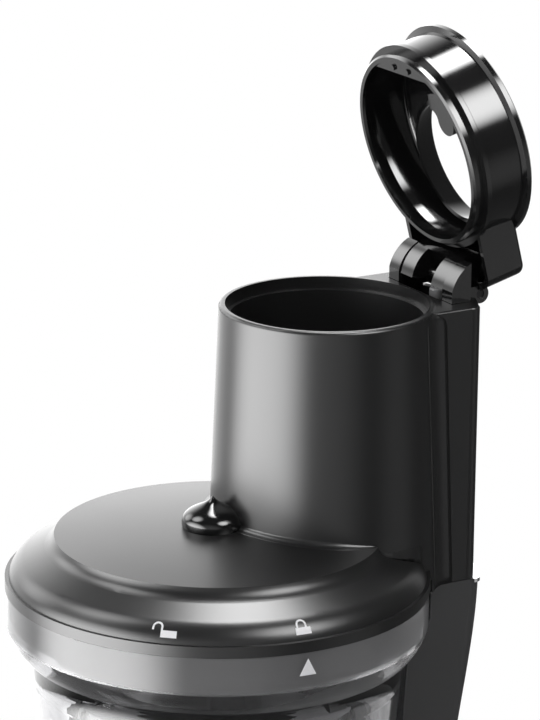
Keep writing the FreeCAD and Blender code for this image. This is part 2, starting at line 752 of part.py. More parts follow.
def auger():
    base = cyl(AUGER_R, AUGER_Z, AUGER_Z + 4)
    hub = turned([(0, AUGER_Z), (AUGER_HUB_R + 2, AUGER_Z), (AUGER_HUB_R, AUGER_TOP - 18),
                  (8.0, AUGER_TOP, AUGER_HUB_R - 3, AUGER_TOP - 5), (AUGER_PIN_R, AUGER_TOP + 4),
                  (AUGER_PIN_R, AUGER_PIN_TOP), (0, AUGER_PIN_TOP)])
    body = base.fuse(hub)
    body = body.fuse(flight())
    return body.cut(hexagon(HEX + 7.0, AUGER_Z - 1, HEX_TOP + 3.0))


def auger_socket():
    outer = hexagon(HEX + 7.0, AUGER_Z, HEX_TOP + 3.0)
    return outer.cut(hexagon(HEX + 2 * GAP, AUGER_Z - 1, HEX_TOP + 1.0))


# Hopper lid: dome, chute and column in one moulding
def crown(radius, edge_z, top_z):
    """Profile point on the axis, reached over a shallow spherical crown."""
    rise = top_z - edge_z
    ball = (radius ** 2 + rise ** 2) / (2 * rise)
    half = radius / 2
    return (0, top_z, half, top_z - ball + math.sqrt(ball ** 2 - half ** 2))


def dome_points(shift):
    z = BAND_Z - shift
    return [
        (EDGE_R - shift, z + SKIRT_H + 13.4),
        (74.6 - shift * 0.6, z + 25.6, 79.4 - shift * 0.8, z + 21.6),
        (67.2 - shift * 0.3, z + 29.4),
        (CREASE_R, CREASE_Z - shift, 64.6, z + 31.6),
        crown(CREASE_R, CREASE_Z - shift, PLATEAU_Z - shift),
    ]


def chute_cone(shift, low, high):
    """Tapered chute body; the taper is set between the seam and the rim."""
    span = RIM_Z - SEAM_Z
    slope = (CHUTE_FOOT_R - CHUTE_R) / span
    r_low = CHUTE_R + (RIM_Z - low) * slope - shift
    r_high = CHUTE_R + (RIM_Z - high) * slope - shift
    cone = Part.makeCone(r_low, r_high, high - low, V(0, CHUTE_Y, low))
    cone.rotate(V(0, CHUTE_Y, 0), V(0, 0, 1), 90)
    return cone


def chute_bore(low, high):
    return cyl(CHUTE_BORE, low, high, 0, CHUTE_Y)


def hopper_outer():
    dome = turned([(0, SKIRT_Z), (SKIRT_R, SKIRT_Z), (SKIRT_R, SKIRT_Z + SKIRT_H)] + dome_points(0))
    chute = chute_cone(0, SEAM_Z, RIM_Z)
    rim_edges = [e for e in chute.Edges if abs(e.CenterOfMass.z - RIM_Z) < 0.01]
    chute = chute.makeFillet(1.4, rim_edges)
    column = column_prism(SEAM_Z, RIM_Z - COL_DROP)
    top_edges = [e for e in column.Edges if abs(e.CenterOfMass.z - (RIM_Z - COL_DROP)) < 0.01
                 and e.CenterOfMass.y > 51]
    column = column.makeFillet(1.0, top_edges)
    room = cyl(BAND_R + 1.6, SEAM_Z - 1, SKIRT_Z)
    return dome.fuse(chute.cut(room)).fuse(column.cut(room))


def column_room():
    """Hollow of the column, behind the chute wall."""
    room = column_prism(SEAM_Z - 1, RIM_Z - COL_DROP - WALL, WALL)
    room = room.cut(chute_cone(-0.1, SEAM_Z - 2, RIM_Z))
    room = room.cut(cyl(BAND_R + 1.6 + WALL, SEAM_Z - 2, SKIRT_Z + 10))
    shelf = block(-40, 40, 60, 120, SHELF_Z, SHELF_Z + SHELF_T)
    seat_z = RIM_Z - YOKE_DROP
    seat = block(-40, 40, 60, 120, seat_z - SEAT_T, seat_z)
    return room.cut(shelf).cut(seat)


def hopper_lid():
    body = hopper_outer()
    skirt_in = BAND_R - BAND_WALL - 3.4
    inner = turned([(0, SKIRT_Z - 1), (skirt_in - 2.4, SKIRT_Z - 1), (skirt_in - 2.4, SKIRT_Z + 1)]
                   + dome_points(WALL)[1:])
    body = body.cut(inner)
    body = body.cut(chute_bore(SKIRT_Z - 1, RIM_Z - MOUTH_DEEP + 1).cut(cyl(200, 0, SKIRT_Z + 14)))
    body = body.cut(cyl(MOUTH_R, RIM_Z - MOUTH_DEEP, RIM_Z + 1, 0, CHUTE_Y))
    body = body.cut(column_room())
    low = BAND_Z + 3.2
    plug = tube(skirt_in, BAND_R - BAND_WALL - 0.4, low, SKIRT_Z + 0.5)
    body = body.fuse(plug)
    for n in range(LUG_COUNT):
        start = LUG_START + n * 360.0 / LUG_COUNT
        lug = sector(skirt_in + 1, BAND_R - BAND_WALL + GROOVE_DEEP - 0.35, GROOVE_Z + 0.4,
                     GROOVE_Z + GROOVE_H - 0.4, start, LUG_ARC)
        body = body.fuse(lug)
    boss = cyl(8.6, BUSH_LOW, PLATEAU_Z - 1).cut(chute_bore(0, 400).common(block(-50, 50, 9.5, 99, 0, 400)))
    body = body.fuse(boss)
    body = body.cut(cyl(BUSH_OUT, BUSH_LOW - 1, BUSH_LOW + BUSH_H))
    body = body.cut(cyl(ROD_R + RUN, SHELF_Z - 1, SHELF_Z + SHELF_T + 1, 0, ROD_Y))
    seat_z = RIM_Z - YOKE_DROP
    body = body.cut(cyl(ROD_R + GAP, seat_z - SEAT_T - 1, seat_z + 1, 0, ROD_Y))
    for x, y in screw_pair():
        body = body.cut(cyl(SCREW_R, seat_z - SEAT_T - 1, seat_z + 1, x, y))
    top = RIM_Z - COL_DROP
    opening = block(-CHEEK_OUT - GAP, CHEEK_OUT + GAP, CHEEK_FRONT - GAP, CHEEK_BACK + GAP, top - 6, top + 5)
    opening = opening.cut(chute_cone(-0.1, SEAM_Z, RIM_Z + 0.001))
    body = body.cut(opening)
    notch = block(-EAR_OUT - GAP, EAR_OUT + GAP, CHEEK_BACK - 1, 120, HINGE_Z - EAR_R - 0.4, top + 5)
    return body.cut(notch)


def auger_top_bush():
    return tube(AUGER_PIN_R + RUN, BUSH_OUT, BUSH_LOW, BUSH_LOW + BUSH_H)


def lid_gasket():
    r_out = BAND_R - BAND_WALL - 0.4
    ring = tube(r_out - 3.0, r_out, BAND_Z + 0.9, BAND_Z + 3.2)
    return ring.makeFillet(0.9, [e for e in ring.Edges if abs(e.CenterOfMass.z - BAND_Z - 0.9) < 0.01
                                 and len(e.Vertexes) == 1])


def auger_nub():
    """Glossy dome over the top bush, engulfed by the chute wall behind it."""
    z = PLATEAU_Z
    nub = turned([(0, z), (NUB_R - 0.6, z), (NUB_R, z + 2.4, NUB_R, z + 0.9),
                  (5.6, z + NUB_H - 0.9, 10.2, z + 6.2), crown(5.6, z + NUB_H - 0.9, z + NUB_H)])
    return nub.cut(chute_cone(0, SEAM_Z, RIM_Z))


def column_base_plate():
    plate = column_prism(SEAM_Z, SEAM_Z + 2.2, WALL)
    plate = plate.cut(cyl(BAND_R + 1.6 + WALL, SEAM_Z - 2, SKIRT_Z + 10))
    plate = plate.cut(chute_cone(-0.1, SEAM_Z - 2, RIM_Z))
    return plate


def hinge_block():
    """Gloss insert: two quarter-round cheeks, ears for the pin and a cross plate below."""
    deep = RIM_Z - YOKE_DROP
    axis = (HINGE_Y, RIM_Z)

    def on_arc(degrees):
        a = math.radians(degrees)
        return (axis[0] + CHEEK_ARC * math.cos(a), axis[1] + CHEEK_ARC * math.sin(a))
    top_angle = math.degrees(math.acos((CHEEK_BACK - axis[0]) / CHEEK_ARC))
    low_angle = math.degrees(math.acos((CHEEK_FRONT - axis[0]) / CHEEK_ARC))
    top = on_arc(top_angle)
    mid = on_arc((top_angle + low_angle) / 2)
    cheek = side_slab([
        (CHEEK_FRONT, deep), (CHEEK_BACK, deep), (CHEEK_BACK, top[1]),
        (CHEEK_FRONT, on_arc(low_angle)[1], mid[0], mid[1])], CHEEK_IN, CHEEK_OUT)
    ear = Part.makeCylinder(EAR_R, EAR_OUT - CHEEK_IN, V(CHEEK_IN, HINGE_Y, HINGE_Z), V(1, 0, 0))
    arm = block(CHEEK_IN, EAR_OUT, CHEEK_BACK - 1, HINGE_Y, HINGE_Z - 3.2, HINGE_Z + 3.2)
    pair = both(cheek.fuse(arm).fuse(ear))
    plate = block(-CHEEK_IN - 1, CHEEK_IN + 1, CHEEK_FRONT + 1, CHEEK_BACK + 2.5, deep, deep + YOKE_T)
    body = pair.fuse(plate)
    body = body.cut(Part.makeCylinder(PIN_R, 60, V(-30, HINGE_Y, HINGE_Z), V(1, 0, 0)))
    body = body.cut(cyl(ROD_R + RUN, deep - 1, deep + YOKE_T + 1, 0, ROD_Y))
    for x, y in screw_pair():
        body = body.cut(cyl(SCREW_R, deep - 1, deep + YOKE_T + 1, x, y))
    inside = column_prism(deep - 1, RIM_Z - COL_DROP - WALL, WALL + 0.2)
    above = block(-60, 60, 40, 130, RIM_Z - COL_DROP - WALL, RIM_Z + 40)
    body = body.common(inside.fuse(above))
    return body.cut(chute_cone(-0.1, SEAM_Z, RIM_Z + 1))


def hinge_pin():
    return Part.makeCylinder(PIN_R, 2 * EAR_OUT - 1, V(-EAR_OUT + 0.5, HINGE_Y, HINGE_Z), V(1, 0, 0))


def interlock_rod():
    rod = cyl(ROD_R, ROD_LOW, RIM_Z - 0.2, 0, ROD_Y)
    rod = rod.makeFillet(0.8, [e for e in rod.Edges if abs(e.CenterOfMass.z - RIM_Z + 0.2) < 0.01])
    collar = cyl(ROD_R + 1.6, COLLAR_Z, COLLAR_Z + 2.4, 0, ROD_Y)
    return rod.fuse(collar)


def rod_magnet():
    return cyl(ROD_R, ROD_LOW - 4.5, ROD_LOW, 0, ROD_Y)


def rod_spring():
    """Compression coil between the shelf and the collar of the rod."""
    wire_r = 0.45
    coil_r = ROD_R + 0.3 + wire_r
    low = SHELF_Z + SHELF_T + wire_r
    high = COLLAR_Z - wire_r
    turns = 7
    helix = Part.makeHelix((high - low) / turns, high - low, coil_r)
    ring = Part.Wire(Part.makeCircle(wire_r, V(coil_r, 0, 0), V(0, 1, 0)))
    coil = Part.Wire(helix).makePipeShell([ring], True, True)
    coil.translate(V(0, ROD_Y, low))
    return coil


def lid_switch():
    """Reed switch under the column top, sensing the magnet."""
    top = SEAM_Z - GAP - WALL
    return block(-9, 9, ROD_Y - 4, ROD_Y + 3, top - 8, top)


# Ring lid in its closed place, then swung open
def ring_lid():
    z = RIM_Z + 0.25
    cy = CHUTE_Y
    top = z + RING_H
    outer = turned([
        (0, z - RING_LIP_DEEP), (RING_LIP_R - 0.8, z - RING_LIP_DEEP), (RING_LIP_R, z - RING_LIP_DEEP + 0.8),
        (RING_LIP_R, z), (RING_RIDGE_R, z), (RING_RIDGE_R, z + 1.9), (RING_R - 0.7, z + 2.8),
        (RING_R, top - 3.4), (RING_FLANGE_R, top - 2.8), (RING_FLANGE_R, top - 0.9),
        (RING_FLANGE_R - 1.0, top), (0, top)], 0, cy)
    inside = turned([
        (0, z - RING_LIP_DEEP - 1), (RING_IN_R, z - RING_LIP_DEEP - 1), (RING_IN_R, z - 3),
        (RING_IN_R + 1.6, z + 2), (RING_IN_R + 1.9, top - RING_DISC - 2),
        (RING_IN_R, top - RING_DISC, RING_IN_R + 1.3, top - RING_DISC - 0.6), (0, top - RING_DISC)], 0, cy)
    hole_y = cy + RING_HOLE_OFF
    ring = outer.cut(inside)
    low = top - COLLAR_DEEP
    flare = Part.makeCone(RING_HOLE_R, RING_HOLE_OUT_R, COLLAR_DEEP, V(0, hole_y, low))
    wall = Part.makeCone(RING_HOLE_R + 1.8, RING_HOLE_OUT_R + 1.8, COLLAR_DEEP, V(0, hole_y, low))
    ledge = turned([(0, z - 3.6), (RING_IN_R + 1, z - 3.6), (RING_IN_R + 1, z - 2.0), (0, z - 2.0)], 0, cy)
    ledge = ledge.common(block(-60, 60, 0, cy - 31.5, z - 10, z + 10))
    body = ring.fuse(wall.common(cyl(RING_IN_R + 1.7, low, top, 0, cy))).fuse(ledge)
    cap = cap_block()
    body = body.fuse(cap.cut(cyl(RING_R - 1.2, z - 9, top + 5, 0, cy)))
    body = body.cut(flare)
    body = body.fuse(pivot_post(low, top))
    body = body.cut(cyl(POST_BORE, low + 1.5, top + 5, 0, cy + POST_OFF))
    for x in (-5.0, 5.0):
        body = body.fuse(cyl(1.2, z - 4.4, z - 2.8, x, cy - 33.8))
    return swing(body)


def pivot_post(low, top):
    """Post for the small feed flap, with concave sides that run into the rim of the hole."""
    y = CHUTE_Y + POST_OFF
    side = 4.2
    tongue = block(-POST_R - side, POST_R + side, y - 12, y, low, top)
    for x in (-POST_R - side, POST_R + side):
        tongue = tongue.cut(cyl(side, low - 1, top + 1, x, y))
        tongue = tongue.cut(block(x - side / 2, x + side / 2, y - 0.5 * side, y + 1, low - 1, top + 1))
    hole = cyl(RING_HOLE_OUT_R + 0.6, low, top, 0, CHUTE_Y + RING_HOLE_OFF)
    return tongue.common(hole).fuse(cyl(POST_R, low, top, 0, y))


def cap_block():
    """Hollow block behind the ring that covers the hinge when the lid is shut."""
    z = RIM_Z + 0.25

    def plan(inset, low, high, front):
        half = CAP_W - inset
        yc = COL_CORNER_Y + 2.0 - inset
        wire = outline([
            (half, front), (half, yc - 3.0),
            (half - 2.6, yc + 0.6, half - 0.9, yc - 0.9),
            (-half + 2.6, yc + 0.6, 0, yc + 7.6),
            (-half, yc - 3.0, -half + 0.9, yc - 0.9),
            (-half, front)], lambda x, y: V(x, y, low))
        return Part.Face(wire).extrude(V(0, 0, high - low))
    outer = plan(0, z, z + CAP_H, CHUTE_Y + 30)
    edges = [e for e in outer.Edges if abs(e.CenterOfMass.z - z - CAP_H) < 0.01
             and e.CenterOfMass.y > CHUTE_Y + 31]
    outer = outer.makeFillet(2.4, edges)
    inner = plan(CAP_WALL, z - 1, z + CAP_H - CAP_WALL, CHUTE_Y + 30.5)
    inner = inner.cut(cyl(RING_R + 0.4, z - 9, z + 40, 0, CHUTE_Y))
    relief = Part.makeCylinder(EAR_R + 1.5, 2 * EAR_OUT + 1.4, V(-EAR_OUT - 0.7, HINGE_Y, HINGE_Z), V(1, 0, 0))
    back = block(-EAR_OUT - 0.7, EAR_OUT + 0.7, HINGE_Y - 8, HINGE_Y + 10, z - 5, HINGE_Z)
    return outer.cut(inner).cut(relief).cut(back)


def lid_knuckle():
    """Drum that turns on the pin, with the web that joins it to the cap and the cam for the rod."""
    z = RIM_Z + 0.25
    ceiling = z + CAP_H - CAP_WALL

    def polar(radius, degrees):
        a = math.radians(degrees)
        return (HINGE_Y + radius * math.cos(a), HINGE_Z + radius * math.sin(a))
    start = 152.0
    end = 246.0
    a = polar(DRUM_R, start)
    b = polar(DRUM_R, end)
    m = polar(DRUM_R, (start + end) / 2)
    fan = side_slab([(HINGE_Y, HINGE_Z), a, (b[0], b[1], m[0], m[1]), polar(10.5, end), polar(5.5, end - 24)],
                    -DRUM_W, DRUM_W)
    barrel = Part.makeCylinder(EAR_R, 2 * DRUM_W, V(-DRUM_W, HINGE_Y, HINGE_Z), V(1, 0, 0))
    web = block(-DRUM_W, DRUM_W, HINGE_Y - DRUM_R + 1.0, HINGE_Y - DRUM_R + 3.4, HINGE_Z + 3, ceiling)
    body = fan.fuse(barrel).fuse(web)
    floor_r = EAR_R + 0.4
    slot = side_slab([
        polar(DRUM_R + 4, SLOT_FROM), polar(DRUM_R + 12, 240.0), polar(DRUM_R + 4, 300.0),
        polar(floor_r, 300.0), (*polar(floor_r, SLOT_FROM), *polar(floor_r, 248.0))], -SLOT_W, SLOT_W)
    body = body.cut(slot)
    tip = polar(9.8, 225.0)
    cam = Part.makeCylinder(1.5, 6.0, V(-3.0, tip[0], tip[1]), V(1, 0, 0))
    arm = side_slab([polar(3.0, 200.0), polar(9.9, 216.5), polar(9.9, 233.5), polar(3.0, 250.0)], -3.0, 3.0)
    body = body.fuse(cam).fuse(arm)
    body = body.cut(Part.makeCylinder(PIN_R + RUN, 60, V(-30, HINGE_Y, HINGE_Z), V(1, 0, 0)))
    return swing(body)


def screw_pair():
    return [(-10.5, ROD_Y), (10.5, ROD_Y)]


def hinge_screws():
    """Two screws that hold the hinge block down on its seat in the column."""
    out = []
    deep = RIM_Z - YOKE_DROP
    for x, y in screw_pair():
        head = cyl(2 * SCREW_R, deep + YOKE_T, deep + YOKE_T + 1.6, x, y)
        shank = cyl(SCREW_R, deep - SEAT_T, deep + YOKE_T, x, y)
        out.append(head.fuse(shank))
    return out


PIECES = {
    "base_housing": base_housing,
    "base_bottom_cover": base_bottom_cover,
    "rubber_feet": rubber_feet,
    "base_screws": base_screws,
    "column_trim": column_trim,
    "knob_bezel": knob_bezel,
    "control_knob": control_knob,
    "rotary_switch": rotary_switch,
    "cord_gland": cord_gland,
    "control_board": control_board,
    "gearbox_housing": gearbox_housing,
    "gearbox_cover": gearbox_cover,
    "drive_bush": drive_bush,
    "shaft_seal": shaft_seal,
    "motor_can": motor_can,
    "motor_magnets": motor_magnets,
    "motor_rotor": motor_rotor,
    "cooling_fan": cooling_fan,
    "motor_pinion": motor_pinion,
    "idler_gear": idler_gear,
    "idler_pin": idler_pin,
    "output_gear": output_gear,
    "drive_shaft": drive_shaft,
    "lid_switch": lid_switch,
    "bowl": bowl,
    "bowl_shaft_seal": bowl_shaft_seal,
    "juice_tap_cap": juice_tap_cap,
    "tap_seal": tap_seal,
    "strainer_frame": strainer_frame,
    "strainer_screen": strainer_screen,
    "wiper_holder": wiper_holder,
    "wiper_blades": wiper_blades,
    "auger": auger,
    "auger_socket": auger_socket,
    "hopper_lid": hopper_lid,
    "auger_top_bush": auger_top_bush,
    "auger_nub": auger_nub,
    "lid_gasket": lid_gasket,
    "column_base_plate": column_base_plate,
    "hinge_block": hinge_block,
    "hinge_screws": hinge_screws,
    "hinge_pin": hinge_pin,
    "interlock_rod": interlock_rod,
    "rod_magnet": rod_magnet,
    "rod_spring": rod_spring,
    "ring_lid": ring_lid,
    "lid_knuckle": lid_knuckle,
}

os.makedirs("parts", exist_ok=True)
for name, make in PIECES.items():
    save(name, make())
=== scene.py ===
import math

import bmesh
import bpy
from mathutils import Matrix, Vector
from mathutils.bvhtree import BVHTree


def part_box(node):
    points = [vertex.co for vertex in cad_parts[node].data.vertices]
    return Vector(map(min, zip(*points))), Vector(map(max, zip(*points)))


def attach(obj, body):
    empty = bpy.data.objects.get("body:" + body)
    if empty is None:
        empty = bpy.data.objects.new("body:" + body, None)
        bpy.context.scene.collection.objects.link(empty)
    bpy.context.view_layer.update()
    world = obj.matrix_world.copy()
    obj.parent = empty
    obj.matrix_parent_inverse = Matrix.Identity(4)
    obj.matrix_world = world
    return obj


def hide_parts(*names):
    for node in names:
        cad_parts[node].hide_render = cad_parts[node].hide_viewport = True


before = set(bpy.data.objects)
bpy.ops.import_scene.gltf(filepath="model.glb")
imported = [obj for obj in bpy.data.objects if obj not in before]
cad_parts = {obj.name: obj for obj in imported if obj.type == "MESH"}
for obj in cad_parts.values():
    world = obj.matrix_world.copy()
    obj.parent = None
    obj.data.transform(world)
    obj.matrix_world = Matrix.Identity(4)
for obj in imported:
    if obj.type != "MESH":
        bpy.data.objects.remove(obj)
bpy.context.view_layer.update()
mm = 0.001


# Motor base and body column
# One injection moulding in dark grey ABS with a fine spark-eroded grain. It stands on the bottom
# cover and carries motor, gears, knob and bowl. The column hugs the bowl and ends in a soft edge.
class Signal:
    """A shader socket on which sums are written as plain Python."""

    def __init__(self, graph, socket):
        self.graph = graph
        self.socket = socket

    def maths(self, operation, first, second=0.0):
        return self.graph.add("Math", {"operation": operation}, {0: first, 1: second})

    def __add__(self, other):
        return self.maths("ADD", self, other)

    def __sub__(self, other):
        return self.maths("SUBTRACT", self, other)

    def __rsub__(self, other):
        return self.maths("SUBTRACT", other, self)

    def __mul__(self, other):
        return self.maths("MULTIPLY", self, other)

    def __truediv__(self, other):
        return self.maths("DIVIDE", self, other)

    __radd__ = __add__
    __rmul__ = __mul__


class Graph:
    """The nodes of one material or of the world, all added by one method."""

    def __init__(self, tree):
        self.tree = tree

    def add(self, kind, settings=None, inputs=None, out=0):
        node = self.tree.nodes.new("ShaderNode" + kind)
        for key, value in (settings or {}).items():
            setattr(node, key, value)
        for key, value in (inputs or {}).items():
            self.feed(node.inputs[key], value)
        return Signal(self, node.outputs[out])

    def feed(self, socket, value):
        if isinstance(value, Signal):
            self.tree.links.new(value.socket, socket)
        else:
            socket.default_value = value

    def place(self):
        return self.add("TexCoord", out="Object")

    def speckle(self, size, detail=2.0, stretch=(1, 1, 1)):
        """Noise from 0 to 1 whose grains are about size metres across, longer where stretched."""
        at = self.add("VectorMath", {"operation": "MULTIPLY"}, {0: self.place(), 1: stretch})
        return self.add("TexNoise", {}, {"Vector": at, "Scale": 1 / size, "Detail": detail})

    def ramp(self, value, low, high):
        """Smooth step of a value, from 0 at low to 1 at high."""
        return self.add("MapRange", {"interpolation_type": "SMOOTHSTEP"},
                        {"Value": value, "From Min": low, "From Max": high})

    def blend(self, mask, first, second):
        """Colour that goes from the first to the second with the mask."""
        return self.add("Mix", {"data_type": "RGBA"}, {0: mask, 6: first, 7: second}, out=2)

    def relief(self, height, deep):
        """Normal bent by a height from 0 to 1 that is deep metres high."""
        return self.add("Bump", {}, {"Strength": 1.0, "Distance": deep, "Height": height})

    def along(self, axes):
        """The coordinates of the surface along the named axes."""
        at = self.place()
        return [self.add("SeparateXYZ", {}, {0: at}, out=axis) for axis in axes]


def grey(level):
    """Neutral colour with a trace of blue."""
    return (level, level, level * 1.02, 1.0)


def finish(name, constants):
    """New material: its nodes, its shader, and the sockets that stay the same all over."""
    material = bpy.data.materials.new(name)
    material.use_nodes = True
    shader = material.node_tree.nodes["Principled BSDF"]
    for key, value in constants.items():
        shader.inputs[key].default_value = value
    return material, Graph(material.node_tree), shader.inputs


DRIFT_SIZE = 0.05
DRIFT_DETAIL = 3.0
DRIFT_GLOSS = 0.05
GRAIN_GLOSS = 0.04


def moulding(name, dark, light, rough, grain=0.6 * mm, deep=0.01 * mm, extra=None):
    """Moulded plastic or rubber: a slow drift of colour and gloss, and a fine grain."""
    material, graph, shader = finish(name, extra or {})
    drift = graph.speckle(DRIFT_SIZE, DRIFT_DETAIL)
    fine = graph.speckle(grain)
    graph.feed(shader["Base Color"], graph.blend(drift, grey(dark), grey(light)))
    graph.feed(shader["Roughness"], rough + DRIFT_GLOSS * drift + GRAIN_GLOSS * fine)
    graph.feed(shader["Normal"], graph.relief(fine, deep))
    return material


def dress(material, *nodes):
    """Gives a material to all the faces of the named nodes."""
    for name in nodes:
        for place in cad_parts[name].material_slots:
            place.material = material


body_grey = moulding("body_grey", 0.030, 0.038, rough=0.46, grain=0.7 * mm, deep=0.02 * mm)
dress(body_grey, "base_housing")


def probe(node):
    """Gives the point where a line meets the skin of a node, and how that skin faces."""
    tree = BVHTree.FromObject(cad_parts[node], bpy.context.evaluated_depsgraph_get())

    def meet(start, toward):
        point, normal, _, _ = tree.ray_cast(Vector(start), Vector(toward).normalized())
        return point, normal
    return meet


def piece(name, work, material, body):
    """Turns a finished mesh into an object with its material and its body."""
    mesh = bpy.data.meshes.new(name)
    work.to_mesh(mesh)
    work.free()
    made = bpy.data.objects.new(name, mesh)
    bpy.context.scene.collection.objects.link(made)
    mesh.materials.append(material)
    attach(made, body)
    return made


def loft(name, sections, material, body):
    """Closed solid through rings of points that all have the same count, with both ends capped."""
    work = bmesh.new()
    rings = [[work.verts.new(p) for p in ring] for ring in sections]
    count = len(rings[0])
    for a, b in zip(rings, rings[1:]):
        for k in range(count):
            face = work.faces.new((a[k], a[(k + 1) % count], b[(k + 1) % count], b[k]))
            face.smooth = True
    work.faces.new(rings[0])
    work.faces.new(rings[-1])
    bmesh.ops.recalc_face_normals(work, faces=work.faces)
    return piece(name, work, material, body)


BEAD_SIDES = 8


def bead(name, path, radius, material, body):
    """Round rod along a path, closed at both ends."""
    rings = []
    for n, point in enumerate(path):
        run = (path[min(n + 1, len(path) - 1)] - path[max(n - 1, 0)]).normalized()
        side = run.cross(Vector((1, 0, 0))).normalized()
        up = run.cross(side)
        turns = [math.tau * k / BEAD_SIDES for k in range(BEAD_SIDES)]
        rings.append([point + radius * (math.cos(t) * side + math.sin(t) * up) for t in turns])
    return loft(name, rings, material, body)


COLUMN_WALL = 2.8 * mm
EDGE_BEAD_R = 0.45 * mm
EDGE_FROM = 0.200
EDGE_DROP = 1.2 * mm
EDGE_STEPS = 45
EDGE_INSET = 0.25 * mm
EDGE_SUNK = 0.15 * mm
edge_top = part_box("base_housing")[1].z - EDGE_DROP
column_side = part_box("column_base_plate")[1].x + COLUMN_WALL
hit_housing = probe("base_housing")
for sign, label in ((1, "left"), (-1, "right")):
    edge = []
    for step in range(EDGE_STEPS + 1):
        height = EDGE_FROM + step * (edge_top - EDGE_FROM) / EDGE_STEPS
        spot = hit_housing((sign * (column_side - EDGE_INSET), 0.0, height), (0, 1, 0))[0]
        if spot:
            edge.append(spot + Vector((0, EDGE_SUNK, 0)))
    bead("column_edge_" + label, edge, EDGE_BEAD_R, body_grey, "base")


# Bottom cover, feet and screws
# The cover is a plain black moulding with slots for the motor's cooling air. Four slotted screws
# hold it up into bosses, and five soft feet are glued under it.
plain_black = moulding("plain_black", 0.014, 0.019, rough=0.42, grain=0.9 * mm, deep=0.02 * mm)
dress(plain_black, "base_bottom_cover")
foot_rubber = moulding("foot_rubber", 0.017, 0.026, rough=0.74, grain=0.5 * mm, deep=0.03 * mm)
dress(foot_rubber, "rubber_feet")

LINE_GLOSS = 0.10
METAL_DRIFT = 0.03


def metal(name, tone, rough, stretch, size=0.8 * mm, deep=0.004 * mm):
    """Bare metal with fine lines drawn along one axis."""
    material, graph, shader = finish(name, {"Metallic": 1.0})
    lines = graph.speckle(size, 3.0, stretch)
    drift = graph.speckle(METAL_DRIFT)
    graph.feed(shader["Base Color"], graph.blend(drift, grey(tone * 0.9), grey(tone)))
    graph.feed(shader["Roughness"], rough + LINE_GLOSS * lines)
    graph.feed(shader["Normal"], graph.relief(lines, deep))
    return material


screw_steel = metal("screw_steel", 0.52, 0.24, (1, 1, 1))
dress(screw_steel, "base_screws")


# Mains gland
# A soft black bush moulded in rubber, pressed into the rear wall of the base from inside. Its
# flange lies behind the wall and keeps it from being pulled out.
gland_rubber = moulding("gland_rubber", 0.012, 0.018, rough=0.60, grain=0.5 * mm, deep=0.02 * mm)
dress(gland_rubber, "cord_gland")


# Bright strip under the seam
# A bent strip of polished metal let into the back of the body column, just under the hopper. It
# runs round both rear corners.
bright_trim = metal("bright_trim", 0.86, 0.08, (1, 1, 0.02), size=1.5 * mm, deep=0.001 * mm)
dress(bright_trim, "column_trim")


# Control knob, its bezel and the switch behind it
# A gloss black knob with a moulded grip turns in a spun metal bezel. A white line on the grip
# points at three printed dots; the switch sits on the inside of the wall.
bezel_metal = metal("bezel_metal", 0.62, 0.22, (1, 0.01, 1), size=0.9 * mm)
dress(bezel_metal, "knob_bezel")
knob_gloss = moulding("knob_gloss", 0.010, 0.013, rough=0.09, grain=4 * mm, deep=0.004 * mm,
                      extra={"Coat Weight": 0.4, "Coat Roughness": 0.04})
dress(knob_gloss, "control_knob")
switch_case = moulding("switch_case", 0.20, 0.25, rough=0.5)
dress(switch_case, "rotary_switch", "lid_switch")

white_ink, ink_graph, ink_shader = finish("white_ink", {"Specular IOR Level": 0.3})
ink_spread = ink_graph.speckle(0.6 * mm)
ink_graph.feed(ink_shader["Base Color"], ink_graph.blend(ink_spread, grey(0.74), grey(0.84)))
ink_graph.feed(ink_shader["Roughness"], 0.42 + 0.15 * ink_spread)
INK_PROUD = 0.06 * mm
INK_THICK = 0.16 * mm
INK_CELL = 0.5 * mm


def printed(name, shapes, place, body):
    """Marks cut into small cells and laid on a skin: place(u, v) gives its point and its normal."""
    work = bmesh.new()
    for shape in shapes:
        work.faces.new([work.verts.new((u, v, 0)) for u, v in shape])
    reach = math.ceil(max(abs(c) for v in work.verts for c in v.co) / INK_CELL)
    for n in range(-reach, reach + 1):
        for across in (Vector((1, 0, 0)), Vector((0, 1, 0))):
            everything = work.verts[:] + work.edges[:] + work.faces[:]
            bmesh.ops.bisect_plane(work, geom=everything, plane_co=across * n * INK_CELL, plane_no=across)
    for vert in work.verts:
        point, normal = place(vert.co.x, vert.co.y)
        vert.co = point + normal * INK_PROUD
    made = piece(name, work, white_ink, body)
    film = made.modifiers.new("film", "SOLIDIFY")
    film.thickness = INK_THICK
    film.offset = -1.0
    return made


def ring_points(u, v, radius, start=0.0, end=360.0, count=24):
    """Points of an arc, or of a full ring, which doesn't repeat its first point."""
    last = count if abs(end - start) < 360 else count - 1
    turns = [math.radians(start + (end - start) * k / count) for k in range(last + 1)]
    return [(u + radius * math.cos(t), v + radius * math.sin(t)) for t in turns]


LINE_HALF = 0.6 * mm
LINE_FROM = 6 * mm
LINE_TO = 15 * mm
DOT_RING = 28.5 * mm
DOTS = ((45, 1.5 * mm), (90, 1.0 * mm), (135, 1.5 * mm))
BEFORE_BASE = -0.2
knob_low, knob_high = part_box("control_knob")
knob_z = ((knob_low + knob_high) / 2).z
knob_front = Vector((0, -1, 0))


def on_knob(u, v):
    """Places marks on the flat end of the grip."""
    return Vector((u, knob_low.y, knob_z + v)), knob_front


def on_front(u, v):
    """Places marks on the front wall of the base, round the knob."""
    return hit_housing((u, BEFORE_BASE, knob_z + v), (0, 1, 0))


